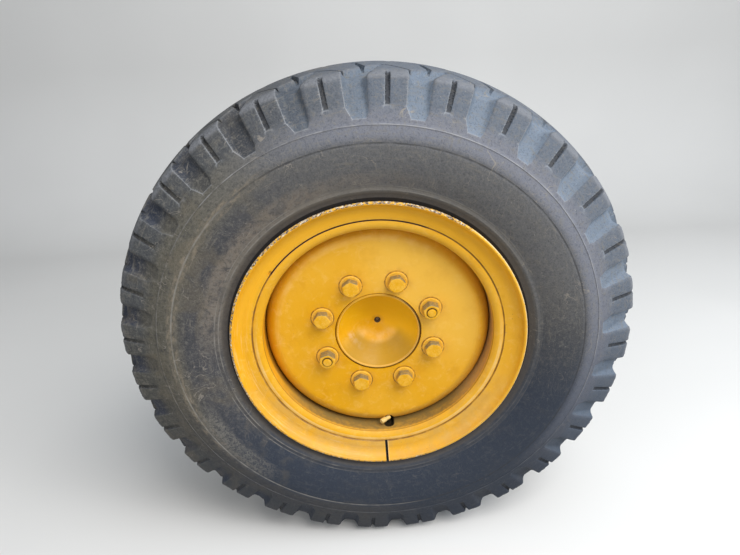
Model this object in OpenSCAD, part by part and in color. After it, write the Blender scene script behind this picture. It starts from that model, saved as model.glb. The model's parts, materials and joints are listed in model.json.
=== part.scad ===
// Motor grader wheel on its axle end: a lugged tyre on a two-piece disc wheel, the dished hub and
// shaft that carry it, its brake drum and back plate, and the housing that bolts to the tandem case.
// Origin: wheel axis, in the housing's mounting face. +Y points into the machine, +Z up.
// Profiles are written as [radius, depth]; wheel profiles count depth from the tyre's middle plane.

/* [Tyre] */
// Radius of the tread at its crown
tyre_r = 527.5; // [520:0.5:540]
// Radius of the shoulder's outer corner
shoulder_r = 516; // [510:0.5:518]
// Half width over the tread's shoulder corners
tread_half = 103; // [98:0.5:106]
// Half width at the widest place of the sidewall
section_half = 137; // [132:0.5:142]
// Radius of the widest place of the sidewall
section_r = 400; // [390:1:410]
// Thickness under the tread's crown, to the cavity
crown_t = 31; // [28:0.5:36]
// Thickness of the sidewall
sidewall_t = 14; // [10:0.5:18]

/* [Tread] */
// Number of lugs round each shoulder
lug_n = 28; // [24:1:32]
// Place of the middle of one lug on the outer shoulder
lug_at = -3.7; // [-12:0.1:12]
// Width of the grooves between the lugs at the shoulder's corner
groove_w = 44; // [36:0.5:50]
// Width of the grooves where they run out beside the middle band
groove_end_w = 36; // [30:0.5:44]
// Depth of the grooves at the shoulder's corner
groove_deep = 18; // [12:0.5:22]
// Where the grooves end on the sidewall, from its widest place (0) to the shoulder's corner (1)
groove_up = 0.39; // [0.34:0.01:0.5]
// Width of the slot in each lug
slot_w = 7; // [5:0.5:9]
// Depth of the slots
slot_deep = 11; // [6:0.5:14]
// Where the slots end on the sidewall
slot_up = 0.56; // [0.5:0.01:0.7]
// Half width of the unbroken band in the middle of the tread
band_half = 46; // [40:0.5:60]

/* [Rim] */
// Radius of the bead seats
seat_r = 254; // [252:0.5:256]
// Half width between the flanges
flange_half = 93.1; // [90:0.1:96]
// Height of a flange above its seat
flange_h = 44.45; // [42:0.05:46]
// Thickness of the flanges
flange_t = 7; // [6:0.5:8]
// How far a flange's lip stands out past its inner face
flange_out = 26.9; // [26:0.1:29]
// Thickness of the rim's base
rim_t = 10; // [8:0.5:12]
// Width of the split in the side ring
split_w = 4; // [2:0.5:6]
// Place of the split, counter-clockwise from +X seen from outside
split_at = 271.6; // [260:0.1:280]

/* [Disc] */
// Distance of the disc's outer face outside the tyre's middle plane
disc_out = 65.5; // [62:0.5:68]
// Thickness of the disc
disc_t = 12; // [10:0.5:14]
// Gap round the hub's pilot in the disc's centre hole
pilot_gap = 1.9; // [0.5:0.1:3]
// Radius of the disc's rounded shoulder
disc_round = 33; // [26:1:36]
// Place of the valve slot
valve_at = 274; // [268:0.1:280]
// Radius of the valve slot
valve_slot_r = 9.5; // [8:0.5:11]

/* [Hub and shaft] */
// Radius of the hub's pilot in the disc's hole
pilot_r = 88.4; // [87:0.1:89]
// Radius of the hub's flange
hub_r = 152; // [148:1:160]
// Thickness of the hub's flange
hub_t = 22; // [18:1:26]
// Depth of the dish below the disc's outer face
dish_deep = 57; // [50:1:60]
// Radius of the shaft under the seal
seal_journal_r = 56; // [54:0.5:58]
// Radius of the outer bearing's seat on the shaft
outer_journal_r = 50; // [48:0.5:52]
// Radius of the inner bearing's seat on the shaft
inner_journal_r = 45; // [43:0.5:46]
// Radius over the splines of the shaft's inner end
spline_r = 38; // [36:0.5:40]
// Number of splines
spline_n = 20; // [16:1:24]
// How far the shaft reaches into the case
shaft_in = 66; // [50:1:80]

/* [Wheel fastenings] */
// Number of fastenings
bolt_n = 8; // [6:2:10]
// Radius of their circle
bolt_circle_r = 120.9; // [118:0.1:124]
// Place of the first one, a stud
bolt_at = 25.45; // [20:0.05:30]
// Radius of a shank
shank_r = 9.5; // [9:0.1:10]
// Hexagon across its flats
hex_af = 32; // [30:0.5:34]
// Height of a bolt's head
head_h = 14; // [12:0.5:16]
// Height of a nut
nut_h = 20; // [18:0.5:22]
// How far a stud stands out of its nut
stud_proud = 2.5; // [0.5:0.5:6]
// Radius of a washer
washer_r = 22.5; // [21:0.5:24]
// Thickness of a washer
washer_t = 4; // [3:0.5:5]

/* [Axle housing] */
// Distance from the mounting face to the tyre's middle plane
wheel_y = 180; // [176:1:190]
// Width of the mounting flange outside its bolt circle
mount_edge = 25; // [20:1:32]
// Thickness of the mounting flange
mount_t = 26; // [22:1:30]
// Radius of the mounting bolt circle
mount_circle_r = 155; // [152:1:158]
// Number of mounting holes
mount_n = 10; // [8:1:12]
// Radius of a mounting hole
mount_hole_r = 10.5; // [9:0.5:11.5]
// Radius of the spigot that centres the housing in the case
spigot_r = 95; // [92:0.5:98]
// Length of the spigot
spigot_h = 12; // [8:1:16]
// Radius of the barrel
barrel_r = 98; // [96:0.5:100]
// Outside radius of the outer bearing
outer_cup_r = 82; // [80:0.5:84]
// Outside radius of the inner bearing
inner_cup_r = 75; // [72:0.5:77]

/* [Brake] */
// Gap between the drum and the rim's inside wall
drum_gap = 22.8; // [16:0.2:30]
// Thickness of the drum's wall
drum_t = 11; // [9:0.5:12]
// Thickness of the drum's web
web_t = 8; // [7:0.5:10]
// Depth of the drum over all
drum_w = 116; // [110:1:118]
// Thickness of the back plate
plate_t = 4; // [3:0.5:5]
// Gap between the drum's open edge and the back plate
plate_gap = 7.5; // [6:0.5:12]
// Number of bolts that hold it to the housing
plate_n = 10; // [8:1:12]

/* [Hidden] */
$fn = 96;
bolt_names = ["bolt_2", "bolt_3", "bolt_4", "bolt_6", "bolt_7", "bolt_8"];
stud_names = ["stud_1", "stud_5"];
nut_names = ["nut_1", "nut_5"];
washer_names = [for (i = [1:8]) str("washer_", i)];

paint = "goldenrod";
steel = "lightslategray";
iron = "dimgray";
rubber = [0.12, 0.12, 0.13];

fit = 0.05;       // radial running clearance of the bearings
seat_gap = 0.3;   // gap where soft or curved faces lie on each other
slip = 0.1;       // clearance of a shank in its thread

// Places along the wheel's axis
disc_y = -wheel_y - disc_out;
hub_y = disc_y + disc_t;
web_y = hub_y + hub_t;
plate_y = web_y + drum_w + plate_gap;
washer_y = disc_y - washer_t;
nose_y = web_y + 53.5;
cone_out_y = nose_y + 12;
cone_in_y = -52;
nut_y = -17;

// Radii that follow from the seats, the pilot and the bolt circles
base_r = seat_r - 7;
rim_in_r = base_r - rim_t;
disc_hole_r = pilot_r + pilot_gap;
drum_out_r = rim_in_r - drum_gap;
drum_in_r = drum_out_r - drum_t;
mount_r = mount_circle_r + mount_edge;
plate_circle_r = barrel_r + 18;

function arc(c, r, a0, a1, n = 10) =
    [for (i = [0:n]) let (a = a0 + (a1 - a0) * i / n) [c[0] + r * cos(a), c[1] + r * sin(a)]];

// Centre of the circle through three points
function centre3(a, b, c) =
    let (d = 2 * (a[0] * (b[1] - c[1]) + b[0] * (c[1] - a[1]) + c[0] * (a[1] - b[1])),
         aa = a * a, bb = b * b, cc = c * c)
    [(aa * (b[1] - c[1]) + bb * (c[1] - a[1]) + cc * (a[1] - b[1])) / d,
     (aa * (c[0] - b[0]) + bb * (a[0] - c[0]) + cc * (b[0] - a[0])) / d];

// Arc from a to c through b
function arc3(a, b, c, n = 10) =
    let (m = centre3(a, b, c), a0 = atan2(a[1] - m[1], a[0] - m[0]),
         a1 = atan2(c[1] - m[1], c[0] - m[0]), ab = atan2(b[1] - m[1], b[0] - m[0]),
         turn = function(x) (x % 360 + 360) % 360,
         ccw = turn(a1 - a0), sweep = turn(ab - a0) < ccw ? ccw : ccw - 360)
    arc(m, norm(a - m), a0, a0 + sweep, n);

function flip(points) = [for (i = [len(points) - 1:-1:0]) [points[i][0], -points[i][1]]];

// Turns a profile of [radius, depth] about the wheel axis
module turned(points, y = 0)
    translate([0, y, 0]) rotate([-90, 0, 0]) rotate_extrude() polygon(points);

// Places children at an angle: +X outward, +Y into the machine, +Z counter-clockwise
module at_angle(a, r = 0, y = 0) rotate([0, -a, 0]) translate([r, y, 0]) children();

// A round bar along +Y
module bar(r, l, y = 0) translate([0, y, 0]) rotate([-90, 0, 0]) cylinder(r = r, h = l);

module hex_bar(af, l, y = 0)
    translate([0, y, 0]) rotate([-90, 0, 0]) cylinder(r = af / 2 / cos(30), h = l, $fn = 6);

// A ring of height l along +Y
module ring(ri, ro, l, y = 0) turned([[ri, 0], [ro, 0], [ro, l], [ri, l]], y);

// Flange of the rim, seen in section: a lip that curls outward
curl_r = flange_out + 2;
curl_c = [seat_r + flange_h - curl_r, -flange_half - curl_r];
tip_a = asin(5.5 / (curl_r - flange_t / 2));
tip_c = curl_c + (curl_r - flange_t / 2) * [cos(tip_a), sin(tip_a)];
taper = tan(5);
seat_end = 54;
back_bend = 12;
function seat(c) = seat_r - taper * (flange_half - 5 - c);

flange_lip = concat(
    arc(curl_c, curl_r, 90, tip_a, 12),
    arc(tip_c, flange_t / 2, tip_a, tip_a - 180, 6),
    arc(curl_c, curl_r - flange_t, tip_a, 90, 12));
seat_root = arc([seat_r + 7, -flange_half + 7], 7, 180, 270, 4);

// Gutter that holds the side ring: its lip's edge, its groove and the base's outside
lip_edge = [seat_r + 2, -flange_half - 3.5];
groove_r = base_r - 3;
groove_c = [lip_edge[1] + 10, lip_edge[1] + 20.5];

notch_at = 142;   // place of the tool notch in the side ring
side_ring_section = concat(
    flange_lip,
    [lip_edge + [1.5, -1.5], lip_edge + [seat_gap, 0.2], [groove_r + seat_gap, groove_c[0] + 0.2],
     [groove_r + seat_gap, groove_c[1] - 0.5], [base_r + seat_gap, groove_c[1] + 2],
     [base_r + seat_gap, -seat_end], [seat(seat_end), -seat_end]],
    seat_root);

gutter_nose = arc3(lip_edge, lip_edge - [10, 1.1], [rim_in_r - 1.5, lip_edge[1] + 8.5], 8);
rim_base_section = concat(
    gutter_nose,
    [[rim_in_r, -seat_end + 2], [rim_in_r, 30], [base_r - 1.5, seat_end + 2], [base_r, flange_half - 6]],
    arc([base_r + back_bend, flange_half - 5.1], back_bend, 180, 90, 4),
    flip(flange_lip),
    flip(seat_root),
    [[seat(seat_end), seat_end], [base_r, seat_end - 8], [base_r, groove_c[1] + 2.5],
     [groove_r, groove_c[1]], [groove_r, groove_c[0]]]);

module rim_base() color(paint) difference() {
    turned(rim_base_section, -wheel_y);
    rim_slot();
}

module side_ring() color(paint) difference() {
    turned(side_ring_section, -wheel_y);
    at_angle(split_at, groove_r - 2, -wheel_y - section_half) translate([0, 0, -split_w / 2])
        cube([flange_h + 20, section_half, split_w]);
    at_angle(notch_at, lip_edge[0] - 2, -wheel_y - flange_half - 12) translate([0, 0, -5]) cube([8, 10, 10]);
}

// The valve comes out through a slot in the rim's base and a notch in the disc's shoulder
valve_y = -wheel_y - 44;
valve_r = rim_in_r - 13.6;
slot_l = 21.5;
module rim_slot() at_angle(valve_at, valve_r, 0) {
    for (y = [valve_y, valve_y - slot_l]) translate([0, y, 0]) rotate([0, 90, 0])
        cylinder(r = valve_slot_r, h = base_r + 5 - valve_r);
    translate([0, valve_y - slot_l, -valve_slot_r]) cube([base_r + 5 - valve_r, slot_l, 2 * valve_slot_r]);
}
module disc_notch() at_angle(valve_at, valve_r, disc_y - 1) {
    bar(valve_slot_r, disc_round - 1);
    translate([0, 0, -valve_slot_r]) cube([rim_in_r - valve_r + 1, disc_round - 1, 2 * valve_slot_r]);
}

// The disc's edge turns in along the rim and ends in a weld
disc_end = -10;
weld = 7;
disc_edge_r = rim_in_r - 0.2;
disc_round_c = [disc_edge_r - disc_round, -disc_out + disc_round];
wheel_disc_section = concat(
    [[disc_hole_r, -disc_out]],
    arc(disc_round_c, disc_round, 270, 360, 10),
    [[disc_edge_r, disc_end + weld], [disc_edge_r - 1, disc_end + weld],
     [disc_edge_r - weld, disc_end + 1], [disc_edge_r - weld, disc_end], [disc_edge_r - disc_t, disc_end]],
    arc(disc_round_c, disc_round - disc_t, 360, 270, 10),
    [[disc_hole_r, -disc_out + disc_t]]);

module wheel_disc() color(paint) difference() {
    turned(wheel_disc_section, -wheel_y);
    for (i = [0:bolt_n - 1]) at_angle(bolt_at + i * 360 / bolt_n, bolt_circle_r, disc_y - 1)
        bar(shank_r + 1, disc_t + 2);
    disc_notch();
}

// Flange, pilot, dish and shaft are one forging
dish_c = disc_y + dish_deep;
boss_r = pilot_r + 3.6;
cup_w = 34;
hub_section = concat(
    [[0, dish_c + 9], [2.5, dish_c + 8], [2.5, dish_c + 5], [7, dish_c - 1]],
    arc3([10, dish_c - 3], [50, disc_y + 34], [pilot_r - 5.4, disc_y + 4], 8),
    [[pilot_r - 3.9, disc_y + 0.5], [pilot_r - 1.9, disc_y], [pilot_r, disc_y + 1.5], [pilot_r, hub_y],
     [hub_r, hub_y], [hub_r + 2, hub_y + 2], [hub_r + 2, web_y - 2], [hub_r, web_y],
     [boss_r, web_y], [boss_r, web_y + web_t + 4]],
    arc3([boss_r - 6, web_y + web_t + 8], [seal_journal_r + 12, nose_y - 20],
         [seal_journal_r + 2, nose_y - 4], 6),
    [[seal_journal_r, nose_y - 2], [seal_journal_r, cone_out_y],
     [outer_journal_r, cone_out_y], [outer_journal_r, cone_out_y + cup_w + 4],
     [outer_journal_r - 3, cone_out_y + cup_w + 6], [outer_journal_r - 3, cone_in_y - 3],
     [inner_journal_r, cone_in_y - 3], [inner_journal_r, nut_y], [inner_journal_r - 2, nut_y],
     [inner_journal_r - 2, 1], [inner_journal_r - 4, 3], [0, 3]]);
spline_h = 4;
spline_gap = 5.4;

// Splined end of the shaft, with a chamfered tip
module splines() intersection() {
    translate([0, 2, 0]) rotate([-90, 0, 0]) linear_extrude(shaft_in - 2) difference() {
        circle(r = spline_r);
        for (i = [0:spline_n - 1]) rotate(i * 360 / spline_n)
            translate([spline_r - spline_h, -spline_gap / 2]) square([2 * spline_h, spline_gap]);
    }
    turned([[0, 0], [spline_r + 1, 0], [spline_r + 1, shaft_in - 4], [spline_r - 4, shaft_in + 1],
            [0, shaft_in + 1]]);
}

module hub_shaft() color(paint) {
    difference() {
        turned(hub_section);
        for (i = [0:bolt_n - 1]) at_angle(bolt_at + i * 360 / bolt_n, bolt_circle_r, hub_y - 1)
            bar(shank_r + slip, hub_t + 2);
    }
    splines();
}

// Brake drum, held between the hub's flange and the bolts' ends
drum_section = [
    [boss_r + seat_gap, 0], [drum_out_r - 6, 0], [drum_out_r, 6], [drum_out_r, drum_w - 30],
    [drum_out_r + 5, drum_w - 26], [drum_out_r + 5, drum_w - 18], [drum_out_r, drum_w - 14],
    [drum_out_r, drum_w], [drum_in_r, drum_w], [drum_in_r, web_t + 8], [drum_in_r - 8, web_t],
    [boss_r + seat_gap, web_t]];

module brake_drum() color(iron) difference() {
    turned(drum_section, web_y);
    for (i = [0:bolt_n - 1]) at_angle(bolt_at + i * 360 / bolt_n, bolt_circle_r, web_y - 1)
        bar(shank_r + 0.3, web_t + 2);
}

// Back plate with a lip round the drum's open edge
lip_in_r = drum_out_r + 5 + 6;
lip_w = 20;
module back_plate() color(iron) difference() {
    turned([[barrel_r + seat_gap, 0], [lip_in_r - 4, 0], [lip_in_r, -4], [lip_in_r, -lip_w],
            [lip_in_r + plate_t, -lip_w], [lip_in_r + plate_t, -2], [lip_in_r - 2, plate_t],
            [barrel_r + seat_gap, plate_t]], plate_y);
    plate_holes();
    for (a = [inlet_at, bleed_at]) at_angle(a, inlet_r, plate_y - 1) bar(port_r + 0.5, plate_t + 2);
    for (a = anchor_at) at_angle(a, anchor_r, plate_y - 1) bar(anchor_pin_r + 0.5, plate_t + 2);
}

plate_bolt_r = 6;
plate_bolt_af = 18;
shoulder_t = 14;
module plate_holes() for (i = [0:plate_n - 1])
    at_angle((i + 0.5) * 360 / plate_n, plate_circle_r, plate_y - 1)
        bar(plate_bolt_r + slip, plate_t + shoulder_t + 2);

module plate_bolts() color(steel)
    for (i = [0:plate_n - 1]) at_angle((i + 0.5) * 360 / plate_n, plate_circle_r) {
        bar(plate_bolt_r, plate_t + shoulder_t + 2, plate_y - 1);
        hex_bar(plate_bolt_af, 8, plate_y + plate_t + shoulder_t);
        hex_bar(plate_bolt_af, 9, plate_y - 9);
    }

// Brake pipe union, bleed screw and anchor nuts on the machine's side of the back plate
inlet_at = 80;
bleed_at = 100;
inlet_r = drum_in_r - 13.2;
port_r = 6;
anchor_at = [262, 278];
anchor_r = drum_in_r - 23.2;
anchor_pin_r = 9;
module port(pipe_r, pipe_l, af, l) {
    bar(port_r, plate_t + 6, plate_y - 6);
    hex_bar(af, l, plate_y + plate_t);
    bar(pipe_r, pipe_l, plate_y + plate_t);
}

module brake_inlet() color(steel) at_angle(inlet_at, inlet_r) port(5, 20, 19, 12);

module bleed_screw() color(steel) at_angle(bleed_at, inlet_r) port(4, 18, 14, 9);

module anchor_nuts() color(steel) for (a = anchor_at) at_angle(a, anchor_r) {
    bar(anchor_pin_r, plate_t + 26, plate_y - 8);
    hex_bar(30, 14, plate_y + plate_t);
    hex_bar(30, 8, plate_y - 8);
}

// Housing: mounting flange, spigot, barrel, and the shoulder that carries the back plate
shoulder_y = plate_y + plate_t;
housing_section = [
    [seal_journal_r + 12, nose_y], [barrel_r - 4, nose_y], [barrel_r, nose_y + 4], [barrel_r, shoulder_y],
    [plate_circle_r + 15, shoulder_y], [plate_circle_r + 15, shoulder_y + shoulder_t],
    [barrel_r + 6, shoulder_y + shoulder_t], [barrel_r + 2, -mount_t - 10], [barrel_r + 12, -mount_t],
    [mount_r - 2, -mount_t], [mount_r, -mount_t + 2], [mount_r, 0], [spigot_r, 0],
    [spigot_r, spigot_h - 2], [spigot_r - 2, spigot_h], [inner_cup_r - 5, spigot_h],
    [inner_cup_r - 5, nut_y], [inner_cup_r, nut_y], [inner_cup_r, cone_in_y],
    [inner_cup_r - 8, cone_in_y], [inner_cup_r - 8, cone_out_y + cup_w + 10],
    [outer_cup_r - 7, cone_out_y + cup_w], [outer_cup_r, cone_out_y + cup_w], [outer_cup_r, cone_out_y - 1],
    [seal_journal_r + 12, cone_out_y - 1]];
rib_n = 5;
rib_t = 12;
plug_at = 252;
plug_r = 8;
plug_y = shoulder_y + shoulder_t + 12;

module axle_housing() color(paint) difference() {
    union() {
        turned(housing_section);
        for (i = [0:rib_n - 1]) at_angle(i * 360 / rib_n) translate([0, 0, -rib_t / 2])
            linear_extrude(rib_t) polygon([[barrel_r - 2, shoulder_y + shoulder_t - 2],
                [plate_circle_r + 12, shoulder_y + shoulder_t - 2],
                [mount_circle_r + 8, -mount_t + 2], [barrel_r - 2, -mount_t + 2]]);
    }
    for (i = [0:mount_n - 1]) at_angle((i + 0.5) * 360 / mount_n, mount_circle_r, -mount_t - 20)
        bar(mount_hole_r, mount_t + 21);
    plate_holes();
    at_angle(plug_at, inner_cup_r - 15, plug_y) rotate([0, 90, 0]) cylinder(r = plug_r + slip, h = 60);
}

// Pipe plug with a square head
module oil_plug() color(steel) at_angle(plug_at, barrel_r - 14, plug_y) rotate([0, 90, 0]) {
    cylinder(r = plug_r, h = 24);
    translate([-plug_r - 1, -plug_r - 1, 22]) cube([2 * plug_r + 2, 2 * plug_r + 2, 9]);
}

// Bearings: cups in the housing, cones on the shaft with their rollers
module outer_bearing_cup() color(steel)
    turned([[outer_journal_r + 22 + fit, 0], [outer_cup_r, 0], [outer_cup_r, cup_w],
            [outer_journal_r + 16 + fit, cup_w]], cone_out_y);

module outer_bearing_cone() color(steel)
    turned([[outer_journal_r, 0], [outer_journal_r + 22, 0], [outer_journal_r + 16, cup_w],
            [outer_journal_r, cup_w]], cone_out_y);

cup_in_w = nut_y - cone_in_y;
module inner_bearing_cup() color(steel)
    turned([[inner_journal_r + 14 + fit, 0], [inner_cup_r, 0], [inner_cup_r, cup_in_w],
            [inner_journal_r + 20 + fit, cup_in_w]], cone_in_y);

module inner_bearing_cone() color(steel)
    turned([[inner_journal_r, 0], [inner_journal_r + 14, 0], [inner_journal_r + 20, cup_in_w],
            [inner_journal_r, cup_in_w]], cone_in_y);

nut_w = 16;
nut_slot = 10;
module bearing_nut() color(steel) difference() {
    bar(inner_journal_r + 15, nut_w, nut_y);
    bar(inner_journal_r - 2 + slip, nut_w + 2, nut_y - 1);
    for (a = [45, 135, 225, 315]) at_angle(a, inner_journal_r + 9, nut_y + nut_w - nut_slot)
        translate([0, 0, -nut_slot / 2]) cube([nut_slot, nut_slot + 1, nut_slot]);
}

module oil_seal() color(rubber)
    turned([[seal_journal_r + 0.1, 0], [seal_journal_r + 12, 0], [seal_journal_r + 12, 11],
            [seal_journal_r + 3, 11], [seal_journal_r + 3, 5], [seal_journal_r + 0.1, 3]], nose_y);

// Wheel fastenings: bolts and studs through the disc into the hub's flange and the drum's web
shank_end = web_y + web_t + 2;
module bolt(i) color(paint) at_angle(bolt_at + i * 360 / bolt_n, bolt_circle_r) {
    bar(shank_r, shank_end - washer_y, washer_y);
    difference() {
        hex_bar(hex_af, head_h, washer_y - head_h);
        hex_chamfer(washer_y - head_h);
    }
}

// Rounds the corners of a hexagon's outer face
module hex_chamfer(y) turned([[hex_af / 2 - 0.5, -0.01], [hex_af / 2 + 4, -0.01], [hex_af / 2 + 4, 2.6]], y);

module stud(i) color(paint) at_angle(bolt_at + i * 360 / bolt_n, bolt_circle_r) {
    bar(shank_r, shank_end - washer_y + nut_h + stud_proud, washer_y - nut_h - stud_proud);
}

module nut(i) color(paint) at_angle(bolt_at + i * 360 / bolt_n, bolt_circle_r) difference() {
    hex_bar(hex_af, nut_h, washer_y - nut_h);
    hex_chamfer(washer_y - nut_h);
    bar(shank_r + slip, nut_h + 2, washer_y - nut_h - 1);
}

module washer(i) color(paint)
    at_angle(bolt_at + i * 360 / bolt_n, bolt_circle_r) ring(shank_r + 0.6, washer_r, washer_t, washer_y);

// Valve: a bent metal stem on its bridge washer, which lies on the rim's base, and its cap
stem_r = 4.3;
stub_l = 9;
valve_lean = 145;
module valve_stub() at_angle(valve_at, valve_r - 2, disc_y + 3) rotate([valve_lean, 0, 0]) children();

module valve_stem() color(paint) {
    at_angle(valve_at, 0, valve_y) {
        translate([valve_r - 2, 0, 0]) rotate([0, 90, 0]) cylinder(r = stem_r, h = base_r + 9 - valve_r);
        translate([base_r + seat_gap, -9, -15]) cube([2, 18, 30]);
    }
    at_angle(valve_at, valve_r - 2, valve_y) sphere(r = stem_r + 0.4);
    at_angle(valve_at, valve_r - 2, disc_y + 3) bar(stem_r, valve_y - disc_y - 3);
    valve_stub() sphere(r = stem_r + 0.4);
    valve_stub() cylinder(r = stem_r, h = stub_l);
}

module valve_cap() color(paint) valve_stub() translate([0, 0, stub_l]) cylinder(r = stem_r + 1.2, h = 12);

// Tyre: half profile of the casing from the bead outward. Places between the widest part of the
// sidewall and the shoulder's corner are shares of that height.
function side_r(share) = section_r + share * (shoulder_r - section_r);
function tread_r(c) = tyre_r - (tyre_r - shoulder_r) * pow(c / tread_half, 2);
bead_gap = curl_r + seat_gap;
rib_at = [seat_r + 65, -section_half + 19.5];
cheek_at = [section_r - 38, -section_half + 4.5];
ring_at = [side_r(0.31), -section_half + 9.5];
ring_w = 4;
ring_proud = 1.6;
groove_end_deep = 14;
slot_reach = 16;   // how far a slot reaches in from the shoulder's corner
slot_end_deep = 3;
foot_at = [side_r(slot_up), -section_half + 20.5];
shoulder_round = 5;
inner_half = tread_half - 35;
inner_corner = [tread_r(inner_half) - crown_t - 3, -inner_half];
tyre_side = concat(
    [[seat(seat_end) + seat_gap, 2 - seat_end], [seat_r + seat_gap - 0.1, -flange_half + 8],
     [seat_r + 7, -flange_half + seat_gap]],
    arc(curl_c, bead_gap, 88, 30, 6),
    [[seat_r + 50, -flange_half - 15], [seat_r + 58, -flange_half - 20]],
    arc3(rib_at, cheek_at, [section_r, -section_half], 6),
    arc3([section_r + 4, -section_half], (ring_at + [section_r + 4, -section_half]) / 2 - [0, 2],
         ring_at - [ring_w / 2 + 1, 1], 3),
    [ring_at - [ring_w / 2, ring_proud + 1], ring_at + [ring_w / 2, -ring_proud + 1],
     ring_at + [ring_w / 2 + 1, 1.3], foot_at],
    arc([shoulder_r - shoulder_round, -tread_half + shoulder_round], shoulder_round, -105, -10, 3));
tyre_crown = arc3([shoulder_r, -tread_half + shoulder_round + 1], [tyre_r, 0],
    [shoulder_r, tread_half - shoulder_round - 1], 10);
tyre_inner_side = concat(
    [[seat(seat_end) + 8, -seat_end]],
    arc3([seat_r + 46, -flange_half + 2], [section_r, -section_half + sidewall_t],
         [side_r(0.62), -section_half + 40], 10));
tyre_inner_crown = arc3(inner_corner, [tyre_r - crown_t, 0], [inner_corner[0], inner_half], 10);
tyre_cavity = concat(tyre_inner_side, tyre_inner_crown, flip(tyre_inner_side));
tyre_section = concat(tyre_side, tyre_crown, flip(tyre_side), [for (p = tyre_cavity) [p[0], -p[1]]]);

// What lies outside the floor of the outer shoulder's cuts: the floor leaves the sidewall at foot_r,
// passes the shoulder's corner at the given depth and is end_deep below the tread at its inner end
cut_top = max(tyre_r, shoulder_r) + 20;
function cut_section(foot_r, deep, c_end, end_deep) = concat(
    arc3([foot_r, -section_half + 8], [(foot_r + shoulder_r) / 2, -tread_half - 9 + deep * 0.62],
         [shoulder_r - deep * 0.75, -tread_half + deep * 0.75], 4),
    [[tread_r(c_end) - end_deep, c_end], [cut_top, c_end + 4],
     [cut_top, -section_half - 10], [foot_r, -section_half - 10]]);

// One ring of wedges at an equal pitch, as wide as the cuts at the shoulder and at their inner ends
module shoulder_wedges(first, w, end_w) for (i = [0:lug_n - 1]) at_angle(first + i * 360 / lug_n)
    rotate([0, 90, 0]) linear_extrude(cut_top + 10)
        polygon([[-w / 2, -section_half - 20], [w / 2, -section_half - 20], [w / 2, -tread_half],
                 [end_w / 2, 0], [-end_w / 2, 0], [-w / 2, -tread_half]]);

module shoulder_cuts(first) {
    intersection() {
        turned(cut_section(side_r(groove_up), groove_deep, -band_half, groove_end_deep));
        shoulder_wedges(first + 180 / lug_n, groove_w, groove_end_w);
    }
    intersection() {
        turned(cut_section(side_r(slot_up), slot_deep, slot_reach - tread_half, slot_end_deep));
        shoulder_wedges(first, slot_w, slot_w);
    }
}

module tyre() color(rubber) translate([0, -wheel_y, 0]) difference() {
    turned(tyre_section);
    shoulder_cuts(lug_at);
    mirror([0, 1, 0]) shoulder_cuts(lug_at + 180 / lug_n);
}

axle_housing();
outer_bearing_cup();
inner_bearing_cup();
oil_seal();
back_plate();
plate_bolts();
brake_inlet();
bleed_screw();
anchor_nuts();
oil_plug();
hub_shaft();
outer_bearing_cone();
inner_bearing_cone();
bearing_nut();
brake_drum();
wheel_disc();
rim_base();
side_ring();
tyre();
valve_stem();
valve_cap();
for (i = [0:7]) if (i % 4 != 0) bolt(i);
for (i = [0, 4]) stud(i);
for (i = [0, 4]) nut(i);
for (i = [0:7]) washer(i);
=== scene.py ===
import json
import math
from functools import reduce
import bmesh
import bpy
import numpy as np
from mathutils import Matrix, Vector, noise
from mathutils.geometry import delaunay_2d_cdt


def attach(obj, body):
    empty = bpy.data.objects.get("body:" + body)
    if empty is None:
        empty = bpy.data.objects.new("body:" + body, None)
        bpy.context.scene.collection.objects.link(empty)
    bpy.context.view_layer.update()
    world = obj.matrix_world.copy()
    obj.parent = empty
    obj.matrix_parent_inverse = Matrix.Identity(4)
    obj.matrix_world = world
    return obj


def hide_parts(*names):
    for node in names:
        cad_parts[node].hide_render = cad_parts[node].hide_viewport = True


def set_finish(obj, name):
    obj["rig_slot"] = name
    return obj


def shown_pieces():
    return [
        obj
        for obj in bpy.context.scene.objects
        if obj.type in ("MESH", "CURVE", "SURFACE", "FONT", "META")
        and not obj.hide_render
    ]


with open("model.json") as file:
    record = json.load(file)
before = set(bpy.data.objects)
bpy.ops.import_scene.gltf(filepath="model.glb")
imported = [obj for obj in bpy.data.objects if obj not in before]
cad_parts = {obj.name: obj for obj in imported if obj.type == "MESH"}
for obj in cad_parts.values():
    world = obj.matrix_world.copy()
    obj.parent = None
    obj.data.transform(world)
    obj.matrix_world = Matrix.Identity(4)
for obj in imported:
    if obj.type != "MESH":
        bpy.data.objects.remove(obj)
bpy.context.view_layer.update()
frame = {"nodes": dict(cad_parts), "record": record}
nodes = frame["nodes"]

# Sizes in millimetres, in the frame of the CAD part. c is the depth from the tyre's middle plane.
# Angles count counter-clockwise seen from outside, LUG_AT in radians and BOLT_AT in degrees.
WHEEL_Y = -180.0
LUGS = 28
LUG_AT = math.radians(-3.7)
PITCH = 2 * math.pi / LUGS
CROWN_R = 527.2
SHOULDER_C = 97.0
SHOULDER_DROP = 11.3
BOLTS = 8
BOLT_AT = 25.45
BOLT_CIRCLE_R = 120.9
DISC_Y = WHEEL_Y - 65.5
WASHER_T = 4.0
WASHER_R = 22.5
WASHER_HOLE_R = 10.2
HEX_AF = 32.0
NUT_H = 20.0
HEAD_H = 16.0
NUT_BORE_R = 9.9
STUD_R = 9.3
STUD_H = 22.5
# How far each hexagon is turned, in degrees, and the power that rounds its corners
HEX_TURN = [12, 40, 8, 27, 50, 3, 33, 20]
HEX_POWER = 26.0
HEX_STEPS = 72
# The chamfer starts this far inside the flats and falls by this share
CHAMFER_IN = 0.8
CHAMFER_FALL = 0.62
# How far a chamfered hexagon's rows lie inside its outline, and how far below its chamfer
HEX_ROWS = [(0, 1.6), (0.12, 0.9744), (0.5, 0.25), (1.3, 0.03)]
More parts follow.
